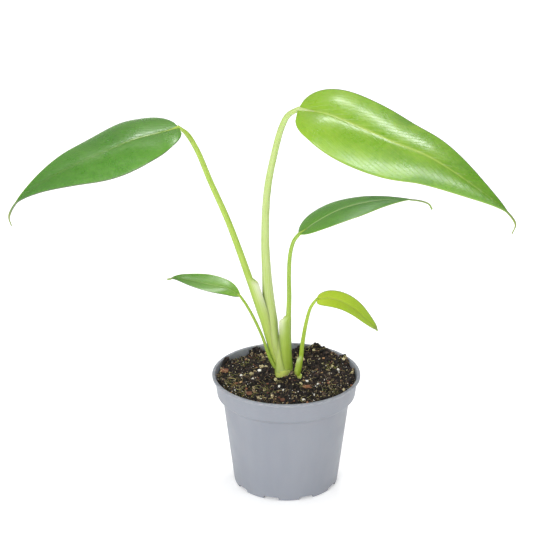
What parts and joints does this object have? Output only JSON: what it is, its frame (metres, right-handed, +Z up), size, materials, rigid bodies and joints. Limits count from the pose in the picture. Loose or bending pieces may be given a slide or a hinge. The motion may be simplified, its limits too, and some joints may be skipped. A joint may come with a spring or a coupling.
{
  "type": "potted monstera",
  "caption": "Young monstera with whole pointed leaves on long sheathed stalks, growing in peat in a tapered nursery pot with a collar and a notched foot.",
  "frame": {"origin": "centre of the pot's foot, on the surface that it stands on", "axes": "+Z up, +X towards the taller leaf's side, along the widest spread of the leaves, -Y towards the side that the leaves lean to"},
  "size_m": [0.3853, 0.1329, 0.3297],
  "materials": {
    "pot_plastic": "matt blue-grey moulded polypropylene",
    "soil": "loose crumbly dark peat",
    "stem": "smooth living stem, satin",
    "petiole": "smooth living stalk, satin",
    "young_leaf": "yellow-green leaf, half gloss",
    "mature_leaf": "mid-green leaf, half gloss",
    "dark_leaf": "dark green leaf, half gloss",
    "perlite": "dull white porous grain",
    "bark": "rough brown bark"
  },
  "bodies": {
    "root": {"pot": "pot_plastic", "potting_soil": "soil", "soil_clump_1": "soil", "soil_clump_2": "soil", "soil_clump_3": "soil", "soil_clump_4": "soil", "soil_clump_5": "soil", "stem_and_roots": "stem", "petiole_tall_right": "petiole", "petiole_tall_left": "petiole", "petiole_middle_right": "petiole", "petiole_small_left": "petiole", "petiole_small_right": "petiole", "blade_tall_right": "young_leaf", "blade_tall_left": "mature_leaf", "blade_middle_right": "dark_leaf", "blade_small_left": "mature_leaf", "blade_small_right": "young_leaf", "perlite_1": "perlite", "perlite_2": "perlite", "perlite_3": "perlite", "perlite_4": "perlite", "perlite_5": "perlite", "perlite_6": "perlite", "perlite_7": "perlite", "perlite_8": "perlite", "perlite_9": "perlite", "bark_chip_1": "bark", "bark_chip_2": "bark", "bark_chip_3": "bark", "bark_chip_4": "bark", "bark_chip_5": "bark"}
  },
  "joints": []
}
